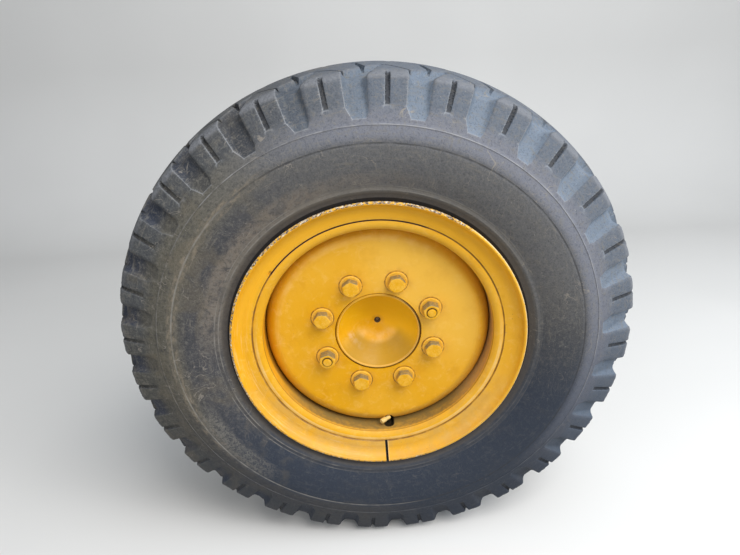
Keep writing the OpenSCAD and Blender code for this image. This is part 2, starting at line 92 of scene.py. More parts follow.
# Size and depth of the lumps that years of paint leave on bolts and nuts
LUMP_SIZE, LUMP_DEEP = 7.0, 0.12

# The tread is unrolled at this radius. A pitch of it starts at FIRST_X from its lug's middle, and the
# rest of the tyre has SIDE_COLS columns in each pitch.
ROUND_R = 516.0
PITCH_MM = PITCH * ROUND_R
FIRST_X = -12.0
SIDE_COLS = 16
# Steps of the points: along outer and inner outlines, and loose ones in the grooves and elsewhere
OUTER_STEP, INNER_STEP = 4.0, 9.0
FINE_STEP, COARSE_STEP = 3.4, 7.2
ROW_SHARE = 0.87
# Depths between which the fine step is used beside the grooves, and where it ends in them
FINE_FROM, FINE_TO, FINE_END = -110, -74, -42
# How far loose points stay from the outlines, from the pitch's border, and from each other, squared,
# and the width of the cells in which the near ones are looked up
FINE_CLEAR, COARSE_CLEAR = 2.6, 3.2
BORDER = 1.2
APART_SQUARED = 2.6
CELL = 2
# Beside a cut's outline: the widths of its pale rim and of the worn rounding, and how deep that goes
EDGE_W, ROUND_W, ROUND_DEEP = 1.2, 4.0, 1.3
# A point that lies this near to an outline sinks by this much
ON_EDGE, RIDGE_DEEP = 0.05, 0.4
# Points less deep than this are on the tread's top
TOP_DEEP = 0.3
# A cut's wall rises over this many times its lean and its depth
WALL_SPREAD = 1.5
# The depths where crown turns to flank, and the depths and radii between which the corner is worn
CROWN_END, FLANK_START = 96, 106
WORN_FROM, WORN_TO = 72, 90
WORN_LOW, WORN_HIGH = 503, 513
# How deep the wear goes on average, by how much its lumps change that, and the most it goes. Of each
# kind of lumps the size, the share and the seed
WORN_MEAN, WORN_SWING, WORN_MOST = 0.9, 1.5, 3
WORN_LUMPS = [(9.0, 0.6, 0.0), (3.5, 0.4, 7.0)]
# The mould line is on the outer side only, between these radii
MOULD_FROM, MOULD_TO = 404, 407

# Metres and degrees: the floor under the tyre, and the camera's place, its yaw, pitch and roll
FLOOR_Z = -0.5275
CAMERA_AT = Vector((-0.0189, -1.3033, 0.5967))
CAMERA_TURN = (0.37, 23.99, 2.64)
LENS = 28.18

# In the materials: the least radius, the radius at which streaks have their size, a distance past all
AXIS_R, STREAK_R, FAR_OFF = 0.001, 300.0, 900.0
YELLOW = (0.83, 0.405, 0.004)
YELLOW_PALE = (0.89, 0.480, 0.042)
YELLOW_DEEP = (0.70, 0.305, 0.003)
YELLOW_DULL = (0.70, 0.36, 0.035)
GRIME = (0.16, 0.115, 0.075)
DUST = (0.26, 0.19, 0.12)
RUST = (0.20, 0.075, 0.045)
BARE = (0.50, 0.47, 0.42)


def smooth_step(x, lo, hi):
    """0 below lo, 1 above hi, with a smooth rise between them."""
    t = np.clip((np.asarray(x, float) - lo) / (hi - lo), 0, 1)
    return t * t * (3 - 2 * t)


def lumps(points, size, seed=0.0):
    """Smooth noise from -1 to 1 at each point, with features of about that size in millimetres."""
    return np.array([noise.noise(Vector((p[0] / size + seed, p[1] / size, p[2] / size))) for p in points])


def add_object(name, data):
    """A new object with that data, in the scene."""
    obj = bpy.data.objects.new(name, data)
    bpy.context.scene.collection.objects.link(obj)
    return obj


def mesh_object(name, verts, faces, body, slot_name, sharp=35.0, marks=None, weld=0.0):
    """A shown piece from points in millimetres. marks are named numbers on its points for the materials."""
    mesh = bpy.data.meshes.new(name)
    mesh.from_pydata((np.asarray(verts) / 1000.0).tolist(), [], faces)
    for key, values in (marks or {}).items():
        mesh.attributes.new(key, "FLOAT", "POINT").data.foreach_set("value", np.asarray(values, np.float32))
    if weld:
        joined = bmesh.new()
        joined.from_mesh(mesh)
        bmesh.ops.remove_doubles(joined, verts=joined.verts, dist=weld / 1000.0)
        joined.to_mesh(mesh)
        joined.free()
    mesh.polygons.foreach_set("use_smooth", [True] * len(mesh.polygons))
    mesh.set_sharp_from_angle(angle=math.radians(sharp))
    obj = add_object(name, mesh)
    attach(obj, body)
    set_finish(obj, slot_name)
    return obj


def grid_faces(rows, cols, closed=True, flip=False):
    """Quads of a grid of points numbered row by row. closed joins the last column to the first."""
    faces = []
    for i in range(rows - 1):
        for j in range(cols if closed else cols - 1):
            k = (j + 1) % cols
            quad = (i * cols + j, (i + 1) * cols + j, (i + 1) * cols + k, i * cols + k)
            faces.append(quad[::-1] if flip else quad)
    return faces


def on_wheel(r, c, phi):
    """Point at a radius, depth and angle, the angle counter-clockwise seen from outside."""
    return np.stack([r * np.cos(phi), c + WHEEL_Y, r * np.sin(phi)], -1)


# Tyre

def crown_r(c):
    """Radius of the tread's crown at a depth."""
    return CROWN_R - SHOULDER_DROP * (np.asarray(c, float) / SHOULDER_C) ** 2


# Outlines, each point as radius and depth: the sidewall from the bead out, the flank to the shoulder's
# corner, and the hollow inside up to the middle. The crown has its depths only.
SIDEWALL = [
    (251.5, -52), (254.3, -85), (257, -91), (262, -92.8), (270.5, -92.9), (280, -94.9), (288, -99.3),
    (294.5, -106.4), (300, -107.8), (306, -109.6), (311, -112.4), (315, -115.8), (317.6, -118.2),
    (320, -118.9), (322.6, -118.5), (325.5, -118.9), (332, -122.2), (341, -125.9), (351, -129.3),
    (362, -132.3), (375, -134.9), (388, -136.4), (399, -136.9), (404.8, -136.9), (405.6, -136.6),
    (406.4, -136.9), (414, -136.0), (423, -133.6), (430, -130.9), (434.2, -129.4),
    (435.0, -130.0), (436.2, -129.5), (437.0, -127.9), (441.5, -125.8)]
FLANK = [
    (441.5, -125.8), (445.2, -124.4), (449.5, -122.6), (454, -120.8), (459, -118.8), (465.2, -116.5),
    (472, -114.3), (480, -111.9), (488, -109.4), (496, -106.9), (502.5, -104.9), (507, -103.4),
    (510.6, -101.9), (513.2, -99.9), (515, -97.3)]
CROWN_C = [-94.5, -91, -86, -80, -74, -68, -60, -52, -44, -36, -28, -20, -10, 0]
CAVITY = [
    (259, -54), (272, -72), (287, -84), (300, -91), (325, -103), (350, -112.5), (375, -119.5), (400, -123),
    (425, -121), (450, -112.5), (472, -97), (488.5, -68), (493.5, -40), (496.5, 0)]

# The floor of a cut below each place of the outside: that place's depth, the floor's radius and depth
GROOVE_FLOOR = [
    (-124.4, 445.6, -122.0), (-120.8, 453.5, -116.2), (-116.5, 463.5, -110.4), (-111.9, 476.5, -103.1),
    (-106.9, 491, -95.8), (-103.4, 499.5, -90.9), (-97.3, 504.6, -86.5), (-91, 506.8, -82.5),
    (-80, 507.2, -77.6), (-76, 507.4, -75.4)]
SLOT_FLOOR = [
    (-116.6, 466.2, -114.2), (-114.3, 474, -110.4), (-111.9, 481, -108.0), (-106.9, 493, -103.0),
    (-103.4, 501.5, -98.2), (-97.3, 508.6, -92.0), (-91, 513.0, -88.6), (-86.5, 516.5, -86.2)]
THIN_DEEP = 9.0
# A groove meets its narrow neck at these depths, and the neck's floor rises to the thin grooves' own
MEET_FROM, MEET_TO, NECK_END = -80, -76, -44
NECK_DEEP = 13.0

# Plans of the cuts, each point as its offset along the tread, its depth, and for the wall from there to
# the next point how far it leans for its height, how pale its rim is and how much the rim is rounded.
# Offsets count clockwise seen from outside.
GROOVE = [
    (-9, -124.4, 0.7, 0.7, 0), (15, -124.4, 0.6, 0.2, 0.3), (19.8, -120.6, 0.65, 0, 1),
    (22.6, -101, 0.65, 0, 1), (49.9, -48, 0.5, 0, 1), (53.9, -41, 0.3, 0, 0), (45.9, -44, 0.3, 0.3, 0),
    (21, -55.6, 0.15, 0, 0), (5, -9.2, 0.12, 0, 0), (59.9, 4.8, 0.12, 0, 0), (59.9, 9.2, 0.12, 0, 0),
    (-5, -4.8, 0.15, 0, 0), (11, -60.3, 0.3, 0.3, 0), (-22.5, -76, 0.6, 1, 0), (-22.6, -101, 0.6, 1, 0),
    (-19.5, -116.6, 0.7, 1, 0)]
SLOT = [(-4.8, -116.6, 0.3, 0.55, 0), (4.8, -116.6, 0.22, 0, 0.2), (4.8, -86.5, 0.3, 0, 0),
        (-4.8, -86.5, 0.22, 1, 0)]
LUG_BACK = [(-11.5, -40, 0.12, 0, 0), (-4.5, -40, 0.12, 0, 0), (47.4, -79, 0.12, 0, 0),
            (40.4, -79, 0.12, 0, 0)]


class Path:
    """The outside of the tread. s is the length along it, 0 in the middle and negative on the outer half."""

    def __init__(self):
        pts = np.array(FLANK + [(float(crown_r(c)), c) for c in CROWN_C], float)
        steps = np.hypot(*np.diff(pts, axis=0).T)
        self.s = np.concatenate([[0], np.cumsum(steps)]) - steps.sum()
        self.r, self.c = pts.T
        self.end = -self.s[0]

    def at(self, s):
        """Radius and depth of a place."""
        s = np.asarray(s, float)
        c = np.interp(-abs(s), self.s, self.c)
        return np.interp(-abs(s), self.s, self.r), np.where(s > 0, -c, c)

    def length_to(self, c):
        """The s of a depth."""
        s = np.interp(-abs(np.asarray(c, float)), self.c, self.s)
        return np.where(np.asarray(c) > 0, -s, s)

    def floor(self, kind, s):
        """Where the floor of a cut lies below a place of the outside."""
        c = self.at(s)[1]
        deep = -abs(c)
        if kind == "thin":
            return crown_r(c) - THIN_DEEP, c
        table = np.array(GROOVE_FLOOR if kind == "groove" else SLOT_FLOOR)
        floor_r = np.interp(deep, table[:, 0], table[:, 1])
        floor_c = np.interp(deep, table[:, 0], table[:, 2])
        if kind == "groove":
            blend = np.clip((deep - MEET_FROM) / (MEET_TO - MEET_FROM), 0, 1)
            inner_r = crown_r(c) - np.interp(deep, [MEET_TO, NECK_END], [NECK_DEEP, THIN_DEEP])
            floor_r = floor_r + blend * (inner_r - floor_r)
            floor_c = floor_c + blend * (deep - floor_c)
        return floor_r, np.where(c > 0, -floor_c, floor_c)


class Cut:
    """One cut in the unrolled tread, its outline in (x, s) with x measured at the shoulder's radius."""

    def __init__(self, path, plan, kind, middle, inner):
        self.kind = kind
        self.inner = inner
        plan = np.array(plan, float)
        s = path.length_to(plan[:, 1])
        x = plan[:, 0] * ROUND_R / path.at(s)[0] + middle
        self.line = np.stack([x, -s if inner else s], -1)
        self.ends = np.roll(self.line, -1, 0)
        self.lean, self.pale, self.round = plan[:, 2:].T

    def reach(self, points):
        """Distance from each point to each side of the outline."""
        along = self.ends - self.line
        from_start = points[:, None, :] - self.line[None]
        share = np.clip((from_start * along).sum(-1) / (along * along).sum(-1), 0, 1)
        return np.linalg.norm(from_start - share[..., None] * along, axis=-1)

    def holds(self, points):
        """Whether each point lies inside the outline."""
        a, b = self.line, self.ends
        px, py = points[:, 0][:, None], points[:, 1][:, None]
        crosses = (a[:, 1] > py) != (b[:, 1] > py)
        slope = (b[:, 0] - a[:, 0]) / np.where(b[:, 1] == a[:, 1], 1e-9, b[:, 1] - a[:, 1])
        return (crosses & (px < a[:, 0] + (py - a[:, 1]) * slope)).sum(1) % 2 == 1


def tread_cuts(path):
    """All cuts that reach into the one pitch that is made."""
    cuts = []
    for inner in (False, True):
        for turn in (-1, 0, 1, 2):
            lug = turn * PITCH_MM - (PITCH_MM / 2 if inner else 0)
            cuts.append(Cut(path, GROOVE, "groove", lug + PITCH_MM / 2, inner))
            cuts.append(Cut(path, SLOT, "slot", lug, inner))
            cuts.append(Cut(path, LUG_BACK, "thin", lug, inner))
    return [cut for cut in cuts if cut.line[:, 0].max() > FIRST_X - 2 and
            cut.line[:, 0].min() < FIRST_X + PITCH_MM + 2]


def outline_points(cuts):
    """Points along the cuts' outlines, the edges between them, and loose points close beside them."""
    pts, edges, beside = [], [], []
    for cut in cuts:
        first = len(pts)
        for a, b in zip(cut.line, cut.ends):
            size = np.hypot(*(b - a))
            n = max(1, int(round(size / (INNER_STEP if cut.inner else OUTER_STEP))))
            across = np.array([(a - b)[1], (b - a)[0]]) / size * EDGE_W
            for i in range(n):
                pts.append(a + (b - a) * i / n)
                if not cut.inner:
                    middle = a + (b - a) * (i + 0.5) / n
                    beside += [middle + across, middle - across]
        count = len(pts) - first
        edges += [(first + i, first + (i + 1) % count) for i in range(count)]
    return pts, edges, beside


def tread_points(path, cuts):
    """Points of one pitch, and the edges that its triangles keep."""
    last_x = FIRST_X + PITCH_MM
    pts, edges, beside = outline_points(cuts)
    rows = np.linspace(-path.end, path.end, int(path.end / 2))
    for x in (FIRST_X, last_x):
        first = len(pts)
        pts += [np.array([x, s]) for s in rows]
        edges += [(first + i, first + i + 1) for i in range(len(rows) - 1)]
    for s in (-path.end, path.end):
        pts += [np.array([x, s]) for x in np.linspace(FIRST_X, last_x, SIDE_COLS + 1)[1:-1]]
    loose = [(p[0], p[1], 0) for p in beside]
    for step in (FINE_STEP, COARSE_STEP):
        loose_rows = np.arange(step * 0.8 - path.end, path.end - step * 0.5, step * ROW_SHARE)
        for i, s in enumerate(loose_rows):
            start = FIRST_X + step * (0.75 if i % 2 else 0.4)
            loose += [(x, s, step) for x in np.arange(start, last_x - step * 0.35, step)]
    loose = np.array(loose)
    place, step = loose[:, :2], loose[:, 2]
    near = np.min([cut.reach(place).min(1) for cut in cuts], axis=0)
    in_groove = np.any([cut.holds(place) for cut in cuts if cut.kind == "groove" and not cut.inner], axis=0)
    s = place[:, 1]
    corner = (s > path.length_to(FINE_FROM)) & (s < path.length_to(FINE_TO)) & ~in_groove
    dense = (in_groove & (s < path.length_to(FINE_END))) | corner
    keep = np.where(step == 0, near > EDGE_W * 0.9,
                    np.where(step == FINE_STEP, dense & (near > FINE_CLEAR), ~dense & (near > COARSE_CLEAR)))
    keep &= (place[:, 0] > FIRST_X + BORDER) & (place[:, 0] < last_x - BORDER) & (abs(s) < path.end - BORDER)
    cells = {}
    for p in place[keep]:
        key = (int(p[0] // CELL), int(p[1] // CELL))
        close = [q for i in (-1, 0, 1) for j in (-1, 0, 1) for q in cells.get((key[0] + i, key[1] + j), [])]
        if all((p[0] - q[0]) ** 2 + (p[1] - q[1]) ** 2 > APART_SQUARED for q in close):
            cells.setdefault(key, []).append(p)
            pts.append(p)
    return pts, edges


def tread_pitch(path):
    """One pitch of the tread: each point's radius, depth and x, the triangles, and the marks."""
    cuts = tread_cuts(path)
    pts, edges = tread_points(path, cuts)
    flat_verts, _, flat_faces = delaunay_2d_cdt([Vector(p) for p in pts], edges, [], 0, 1e-4)[:3]
    flat = np.array([tuple(v) for v in flat_verts])
    faces = np.array([f for f in flat_faces if len(f) == 3])
    middle_x = flat[faces].mean(1)[:, 0]
    faces = faces[(middle_x > FIRST_X) & (middle_x < FIRST_X + PITCH_MM)]
    used, faces = np.unique(faces, return_inverse=True)
    flat, faces = flat[used], faces.reshape(-1, 3)
    place = np.stack(path.at(flat[:, 1]), -1)
    shift = np.zeros_like(place)
    deepest, wall, narrow = np.zeros(len(flat)), np.zeros(len(flat)), np.zeros(len(flat))
    rim, rounded = np.zeros(len(flat)), np.zeros(len(flat))
    for cut in cuts:
        reach = cut.reach(flat)
        rim = np.maximum(rim, ((1 - reach / EDGE_W).clip(0, 1) * cut.pale).max(1))
        near = (1 - reach / ROUND_W).clip(0, 1)
        rounded = np.maximum(rounded, (near ** 2 * cut.round * ROUND_DEEP).max(1))
        rounded = np.maximum(rounded, np.where(reach.min(1) < ON_EDGE, RIDGE_DEEP, 0))
        down = np.stack(path.floor(cut.kind, flat[:, 1]), -1) - place
        depth = np.linalg.norm(down, axis=1)
        t = (reach / (WALL_SPREAD * cut.lean * np.maximum(depth, 0.4)[:, None])).min(1).clip(0, 1)
        share = np.where(cut.holds(flat) & (reach.min(1) > 0.02), t * (2 - t), 0)
        deeper = share * depth > deepest
        shift[deeper] = (share[:, None] * down)[deeper]
        wall[deeper] = share[deeper]
        narrow[deeper] = cut.kind != "groove"
        deepest = np.maximum(deepest, share * depth)
    top = deepest < TOP_DEEP
    c = place[:, 1]
    rounded = rounded * top
    flank = smooth_step(abs(c), CROWN_END, FLANK_START)
    shift[:, 0] -= rounded * (1 - 0.65 * flank)
    shift[:, 1] -= rounded * 0.9 * flank * np.sign(c)
    corner = smooth_step(place[:, 0] - (abs(c) - 103) * 0.35, WORN_LOW, WORN_HIGH)
    marks = {"cut": wall, "narrow": narrow, "rim": rim * top,
             "worn": corner * smooth_step(abs(c), WORN_FROM, WORN_TO) * top}
    return place + shift, flat[:, 0], faces, marks


def ring_rows(profile, xs):
    """Points of a profile turned right round at the given places of each pitch."""
    phi = np.concatenate([LUG_AT - (xs + k * PITCH_MM) / ROUND_R for k in range(LUGS)])
    return np.concatenate([on_wheel(np.full(len(phi), r), np.full(len(phi), c), phi) for r, c in profile])


def make_tyre():
    """The tread's pitch repeated round the wheel, worn at its corners, with the rest of the tyre turned."""
    path = Path()
    place, x, faces, marks = tread_pitch(path)
    tread = np.concatenate([on_wheel(place[:, 0], place[:, 1], LUG_AT - (x + k * PITCH_MM) / ROUND_R)
                            for k in range(LUGS)])
    marks = {key: np.tile(values, LUGS) for key, values in marks.items()}
    tris = np.concatenate([faces + k * len(x) for k in range(LUGS)])
    radius = np.hypot(tread[:, 0], tread[:, 2])
    worn = marks["worn"]
    here = worn > 0.01
    rough = sum(lumps(tread[here], size, seed) * share for size, share, seed in WORN_LUMPS)
    drop = np.zeros(len(tread))
    drop[here] = np.clip(worn[here] * (WORN_MEAN + rough * WORN_SWING), 0, WORN_MOST)
    tread[:, [0, 2]] *= ((radius - drop) / radius)[:, None]
    back = [(r, -c) for r, c in SIDEWALL if not MOULD_FROM < r < MOULD_TO][::-1]
    inside = [(r, -c) for r, c in CAVITY] + CAVITY[-2::-1]
    xs = FIRST_X + np.arange(SIDE_COLS) * PITCH_MM / SIDE_COLS
    front_pts, rest_pts = ring_rows(SIDEWALL, xs), ring_rows(back + inside + SIDEWALL[:1], xs)
    cols = LUGS * SIDE_COLS
    front = np.array(grid_faces(len(SIDEWALL), cols, flip=True))
    rest = np.array(grid_faces(len(back) + len(inside) + 1, cols, flip=True))
    verts = np.concatenate([tread, front_pts, rest_pts])
    all_faces = tris.tolist() + (front + len(tread)).tolist() + (rest + len(tread) + len(front_pts)).tolist()
    blank = np.zeros(len(front_pts) + len(rest_pts))
    marks = {key: np.concatenate([values, blank]) for key, values in marks.items()}
    obj = mesh_object("tyre_shown", verts, all_faces, "wheel", "tyre", 40, marks, weld=0.02)
    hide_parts("tyre")


# Fastenings

def hex_radius(theta, af):
    """Radius of a hexagon with slightly rounded corners, at an angle."""
    near = [abs(math.cos(theta - math.radians(60 * k))) ** HEX_POWER for k in range(3)]
    return af / 2 / sum(near) ** (1 / HEX_POWER)


def turned_hex(af, height, bore):
    """Points and faces of a hexagon with a rounded chamfer, from its base at 0 to its outer face."""
    flat = af / 2 - CHAMFER_IN
    theta = [2 * math.pi * s / HEX_STEPS for s in range(HEX_STEPS)]
    hexes = [hex_radius(t, af) for t in theta]

    def top(rad):
        return height - max(0.0, rad - flat) * CHAMFER_FALL

    rows = [[(h, 0.0) for h in hexes]]
    rows += [[(h - inset, top(h - inset) - under) for h in hexes] for inset, under in HEX_ROWS]
    rows.append([(min(h - 1.6, flat), height - 0.02) for h in hexes])
    if bore:
        inside = [(flat - 2.2, height), (bore + 2.2, height), (bore + 0.8, height - 0.3),
                  (bore, height - 1.4), (bore, 0.0)]
    else:
        inside = [(flat - 2.2, height), (flat * 0.5, height), (0.02, height)]
    rows += [[point] * HEX_STEPS for point in inside]
    verts = [(rad * math.cos(t), -z, rad * math.sin(t)) for row in rows for (rad, z), t in zip(row, theta)]
    return np.array(verts), grid_faces(len(rows), HEX_STEPS, flip=True)


def lathe(profile, steps):
    """Points and faces of a profile of (radius, y) turned about the y axis."""
    verts = [(rad * math.cos(2 * math.pi * s / steps), y, rad * math.sin(2 * math.pi * s / steps))
             for rad, y in profile for s in range(steps)]
    return np.array(verts, float), grid_faces(len(profile), steps)


def at_bolt(verts, index, y, turn=0.0):
    """The points moved to a fastening's place, turned in degrees about their own axis."""
    a = math.radians(BOLT_AT + index * 360 / BOLTS)
    c, s = math.cos(math.radians(turn)), math.sin(math.radians(turn))
    v = verts.copy()
    v[:, 0], v[:, 2] = verts[:, 0] * c - verts[:, 2] * s, verts[:, 0] * s + verts[:, 2] * c
    return v + np.array([BOLT_CIRCLE_R * math.cos(a), y, BOLT_CIRCLE_R * math.sin(a)])


def add_fastening(kind, i, verts, faces, sharp=35.0):
    """A shown piece that stands for the CAD node of that kind at place i."""
    obj = mesh_object(f"{kind}_shown_{i + 1}", verts, faces, "wheel", "bolt_paint", sharp)
    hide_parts(f"{kind}_{i + 1}")


def make_washer(i):
    face = -WASHER_T
    verts, faces = lathe([
        (WASHER_HOLE_R, 0.0), (WASHER_HOLE_R, face), (WASHER_R - 1.9, face), (WASHER_R - 0.8, face + 0.3),
        (WASHER_R - 0.1, face + 1.1), (WASHER_R, 0.0)], 64)
    add_fastening("washer", i, at_bolt(verts, i, DISC_Y), faces)


def make_hex(i, kind, height, bore):
    verts, faces = turned_hex(HEX_AF, height, bore)
    verts = at_bolt(verts, i, DISC_Y - WASHER_T, HEX_TURN[i])
    verts += lumps(verts, LUMP_SIZE, i)[:, None] * LUMP_DEEP
    add_fastening(kind, i, verts, faces, 50)


def make_stud(i):
    verts, faces = lathe([
        (STUD_R, 0.0), (STUD_R, 1.5 - STUD_H), (STUD_R - 0.3, 0.6 - STUD_H), (STUD_R - 1.4, 0.1 - STUD_H),
        (4, -STUD_H), (0.02, -STUD_H)], 40)
    add_fastening("stud", i, at_bolt(verts, i, DISC_Y - WASHER_T), faces)


def make_fastenings():
    """Eight washers, with a nut on a stud at every fourth place and a bolt at the others."""
    for i in range(BOLTS):
        make_washer(i)
        if i % 4 == 0:
            make_hex(i, "nut", NUT_H, NUT_BORE_R)
            make_stud(i)
        else:
            make_hex(i, "bolt", HEAD_H, 0.0)


# Materials

class Look:
    """A procedural material. Its helpers take sockets or plain numbers, with lengths in millimetres."""

    def __init__(self, name):
        self.mat = bpy.data.materials.new(name)
        self.mat.use_nodes = True
        self.tree = self.mat.node_tree
        self.tree.nodes.clear()
        out = self.node("ShaderNodeOutputMaterial")
        self.skin = self.node("ShaderNodeBsdfPrincipled")
        self.tree.links.new(self.skin.outputs[0], out.inputs[0])
        coords = self.node("ShaderNodeTexCoord")
        self.pos = self.vector("MULTIPLY", coords.outputs["Object"], (1000, 1000, 1000))
        self.x, self.y, self.z = self.node("ShaderNodeSeparateXYZ", {0: self.pos}).outputs
        self.r = self.length(self.x, self.z)
        self.color = None
        self.normal = None

    def node(self, kind, inputs=None, **settings):
        """A new node with its settings, fed by the inputs, which go by number or name."""
        n = self.tree.nodes.new(kind)
        for key, value in settings.items():
            setattr(n, key, value)
        self.feed(n, inputs or {})
        return n

    def feed(self, n, inputs):
        for key, value in inputs.items():
            self.put(n.inputs[key], value)

    def put(self, socket, value):
        if isinstance(value, bpy.types.NodeSocket):
            self.tree.links.new(value, socket)
        elif value is not None:
            if isinstance(value, tuple) and socket.type == "RGBA" and len(value) == 3:
                value = (*value, 1.0)
            socket.default_value = value

    def math(self, kind, a, b=None):
        return self.node("ShaderNodeMath", {0: a, 1: b}, operation=kind).outputs[0]

    def vector(self, kind, a, b):
        return self.node("ShaderNodeVectorMath", {0: a, 1: b}, operation=kind).outputs[0]

    def join(self, x, y, z):
        return self.node("ShaderNodeCombineXYZ", {0: x, 1: y, 2: z}).outputs[0]

    def times(self, *factors):
        """Product of the factors."""
        return reduce(lambda a, b: self.math("MULTIPLY", a, b), factors)

    def without(self, *factors):
        """1 less the product of the factors."""
        return self.math("SUBTRACT", 1.0, self.times(*factors))

    def length(self, a, b):
        """Length of the vector with these two parts."""
        return self.math("SQRT", self.math("ADD", self.times(a, a), self.times(b, b)))

    def mix(self, share, a, b):
        return self.node("ShaderNodeMix", {0: share, 6: a, 7: b}, data_type="RGBA").outputs[2]

    def lay(self, tone, *shares):
        """Covers the color so far with a tone, by the product of the shares."""
        self.color = self.mix(self.times(*shares), self.color, tone)

    def span(self, x, lo, hi, to_lo=0.0, to_hi=1.0):
        """x stretched so that lo becomes to_lo and hi becomes to_hi, held there beyond them."""
        inputs = {0: x, 1: lo, 2: hi, 3: to_lo, 4: to_hi}
        return self.node("ShaderNodeMapRange", inputs, interpolation_type="SMOOTHSTEP").outputs[0]

    def band(self, x, lo, hi, soft):
        """1 between lo and hi, fading to 0 over soft on either side."""
        return self.times(self.span(x, lo - soft, lo), self.span(x, hi, hi + soft, 1.0, 0.0))

    def ring(self, lo, hi, soft):
        """1 at radii between lo and hi, fading to 0 over soft on either side."""
        return self.band(self.r, lo, hi, soft)

    def noise(self, size, detail=4.0, rough=0.55, at=None, warp=0.0):
        inputs = {"Vector": self.pos if at is None else at, "Scale": 1.0 / size, "Detail": detail,
                  "Roughness": rough, "Distortion": warp}
        return self.node("ShaderNodeTexNoise", inputs).outputs[0]

    def patches(self, size, lo, hi, to_lo=0.0, to_hi=1.0, **noise_settings):
        """Noise of that size, stretched as in span."""
        return self.span(self.noise(size, **noise_settings), lo, hi, to_lo, to_hi)

    def specks(self, size, lo, hi, at=None):
        """1 in round specks about size apart. They fade from lo to hi, in shares of that size."""
        inputs = {"Vector": self.pos if at is None else at, "Scale": 1.0 / size}
        return self.span(self.node("ShaderNodeTexVoronoi", inputs).outputs["Distance"], lo, hi, 1, 0)

    def mark(self, name):
        return self.node("ShaderNodeAttribute", attribute_name=name).outputs["Fac"]

    def facing(self, degrees):
        """1 where the place lies in that direction from the wheel's axis, -1 opposite."""
        a = math.radians(degrees)
        along = self.math("ADD", self.times(self.x, math.cos(a)), self.times(self.z, math.sin(a)))
        return self.math("DIVIDE", along, self.math("MAXIMUM", self.r, AXIS_R))

    def sector(self, degrees, half, soft):
        """1 within half degrees of a direction, fading to 0 over soft degrees."""
        outer, inner = math.cos(math.radians(half + soft)), math.cos(math.radians(half))
        return self.span(self.facing(degrees), outer, inner)

    def ring_space(self, around, across):
        """Coordinates for streaks round the wheel: around and across are the feature sizes."""
        share = self.math("DIVIDE", 1.0, self.math("MAXIMUM", self.r, AXIS_R))
        turn = STREAK_R / around
        return self.join(self.times(self.x, share, turn), self.times(self.z, share, turn),
                         self.math("DIVIDE", self.r, across))

    def bump(self, height, depth):
        """Adds relief of that depth in millimetres."""
        inputs = {"Height": height, "Distance": depth / 1000.0, "Normal": self.normal}
        self.normal = self.node("ShaderNodeBump", inputs).outputs[0]

    def edges(self):
        """1 on convex edges."""
        return self.span(self.node("ShaderNodeNewGeometry").outputs["Pointiness"], 0.52, 0.6)

    def upward(self):
        """1 where the piece's own surface faces up in its rest pose, -1 where it faces down."""
        normal = self.node("ShaderNodeTexCoord").outputs["Normal"]
        return self.node("ShaderNodeSeparateXYZ", {0: normal}).outputs[2]

    def off_line(self, degrees):
        """Distance to the side of the line from the axis in that direction, far off on the other half."""
        side = self.times(self.r, self.facing(degrees + 90))
        behind = self.math("LESS_THAN", self.facing(degrees), 0.0)
        return self.math("ADD", side, self.times(behind, FAR_OFF))

    def bolt_distance(self):
        """Distance from the axis of the nearest fastening."""
        step = 2 * math.pi / BOLTS
        turn = self.math("SUBTRACT", self.math("ARCTAN2", self.z, self.x), math.radians(BOLT_AT))
        count = self.math("DIVIDE", turn, step)
        off = self.times(self.math("SUBTRACT", count, self.math("ROUND", count)), step)
        across = self.times(self.r, self.math("SINE", off))
        out = self.math("SUBTRACT", self.times(self.r, self.math("COSINE", off)), BOLT_CIRCLE_R)
        return self.length(across, out)

    def finish(self, rough, metal=0.0, coat=0.0, coat_rough=0.1, specular=0.5):
        self.feed(self.skin, {
            "Base Color": self.color, "Roughness": rough, "Metallic": metal, "Coat Weight": coat,
            "Coat Roughness": coat_rough, "Specular IOR Level": specular, "Normal": self.normal})
        return self.mat


def paint_base(k):
    """Yellow paint, paler towards the upper right as painted light, with broad colour changes, fine speckle
    and orange-peel relief.
    """
    # Painted light: the yellow is paler towards the upper right, where the sky light falls
    lit_side = k.times(k.sector(40, 60, 60), 0.5)
    k.color = YELLOW
    k.lay(YELLOW_PALE, k.math("ADD", lit_side, k.patches(160, 0.35, 0.65, 0, 0.4, detail=3, rough=0.5)))
    k.lay(YELLOW_DEEP, k.patches(38, 0.50, 0.75, 0, 0.4, rough=0.6))
    k.lay(YELLOW_DEEP, k.patches(3, 0.58, 0.75, 0, 0.3, rough=0.7))
    k.lay((0.92, 0.54, 0.11), k.patches(20, 0.50, 0.68, 0, 0.45, detail=6, rough=0.7, warp=0.8))
    k.bump(k.noise(5, 3, 0.5), 0.10)
    k.bump(k.noise(55, 2, 0.5), 0.5)


def joint_line(k):
    """The joint between gutter and side ring: dark from the top to the notch, thinner and browner beyond."""
    strong = k.sector(105, 37, 2)
    tone = k.mix(strong, (0.22, 0.095, 0.025), (0.055, 0.020, 0.013))
    weight = k.math("MAXIMUM", strong, k.patches(26, 0.30, 0.6, 0.45, 0.85))
    k.lay(tone, k.ring(254.9, 257.7, 0.5), weight)


